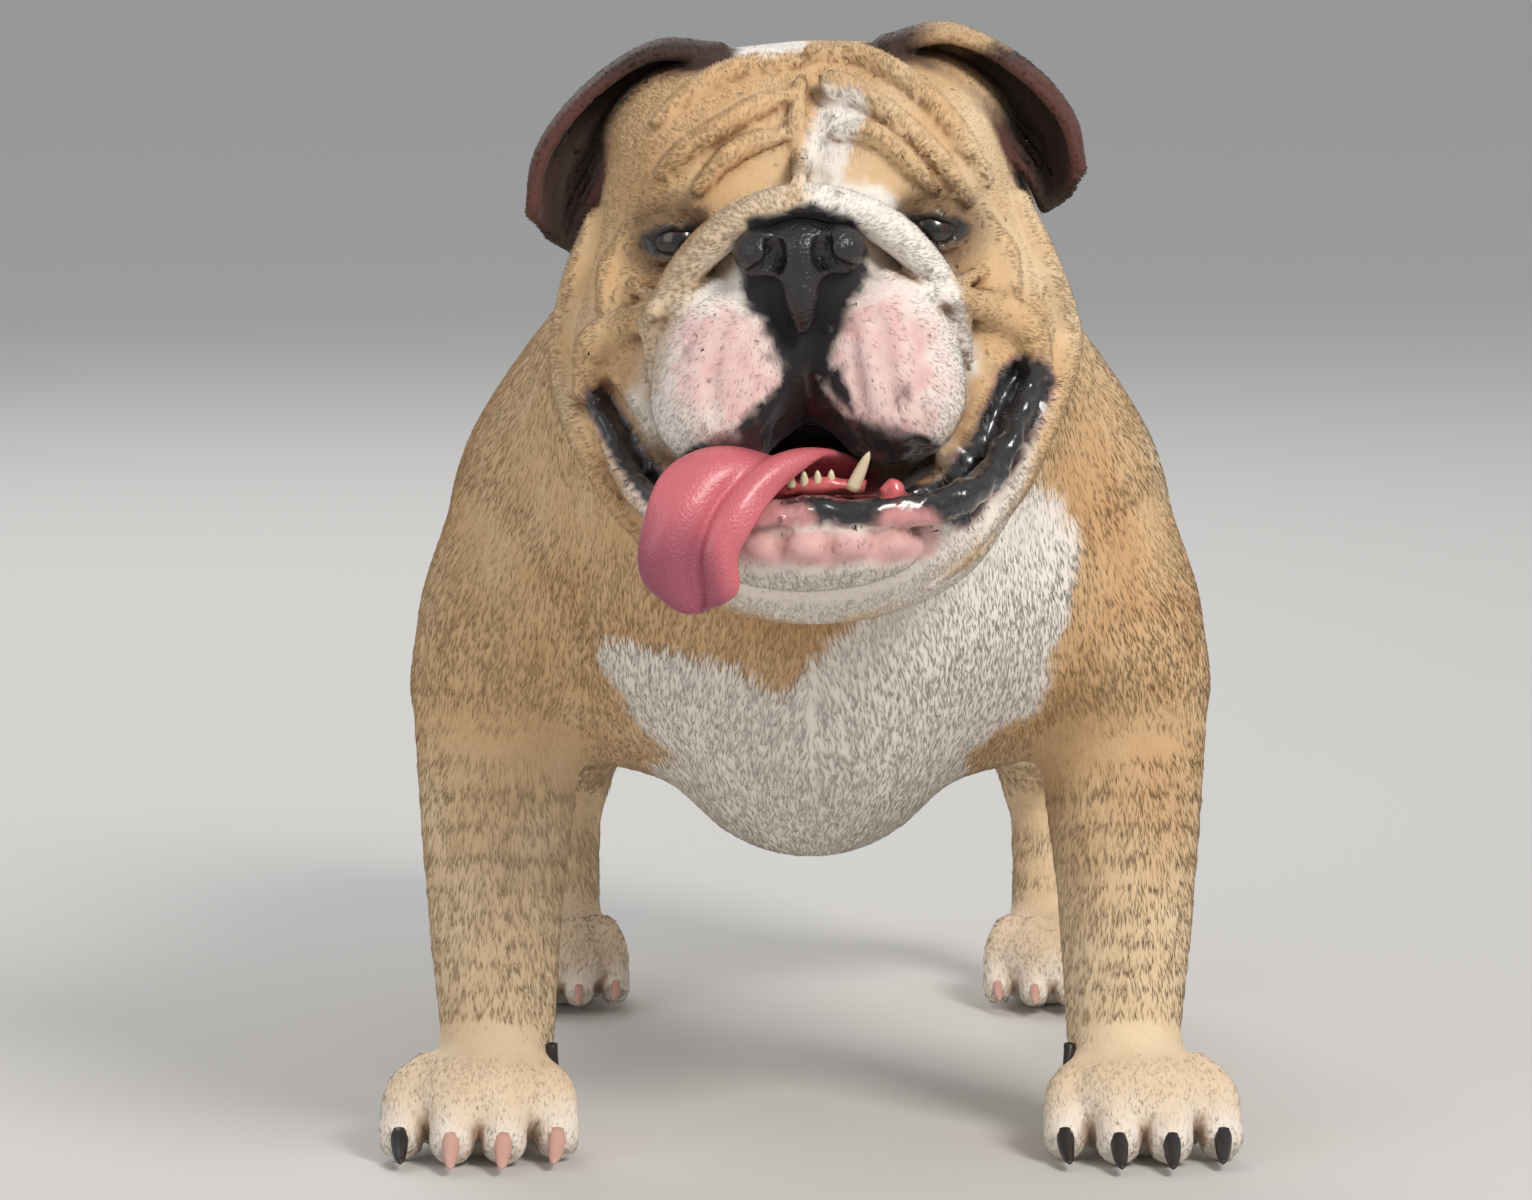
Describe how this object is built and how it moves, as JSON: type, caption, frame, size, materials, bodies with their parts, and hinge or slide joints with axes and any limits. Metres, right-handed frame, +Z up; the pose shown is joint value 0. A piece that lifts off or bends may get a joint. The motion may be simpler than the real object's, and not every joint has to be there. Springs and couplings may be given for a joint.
{
  "type": "standing english bulldog model",
  "caption": "Life-size still model of a standing english bulldog, broad folded head with rose ears, open mouth and tongue out.",
  "frame": {"origin": "on the floor under the centre of the bounding box", "axes": "+Z up, the dog faces -Y, +X is the dog's left"},
  "size_m": [0.3559, 0.6626, 0.4671],
  "materials": {
    "coat": "short smooth golden-fawn and white fur",
    "muzzle_skin": "short white fur over pink and black lip skin",
    "nose_leather": "moist pebbled black skin",
    "tongue": "wet pink skin",
    "ear": "thin ear with short black-brown fur",
    "eye": "wet dark brown eye",
    "paw": "short fawn to white fur with dark claws"
  },
  "bodies": {
    "root": {"head": "coat", "lower_jaw": "muzzle_skin", "neck": "coat", "torso": "coat", "tail": "coat", "nose": "nose_leather", "tongue": "tongue", "ear_left": "ear", "ear_right": "ear", "eye_left": "eye", "eye_right": "eye", "foreleg_left": "coat", "foreleg_right": "coat", "forepaw_left": "paw", "forepaw_right": "paw", "hindleg_left": "coat", "hindleg_right": "coat", "hindpaw_left": "paw", "hindpaw_right": "paw"}
  },
  "joints": []
}
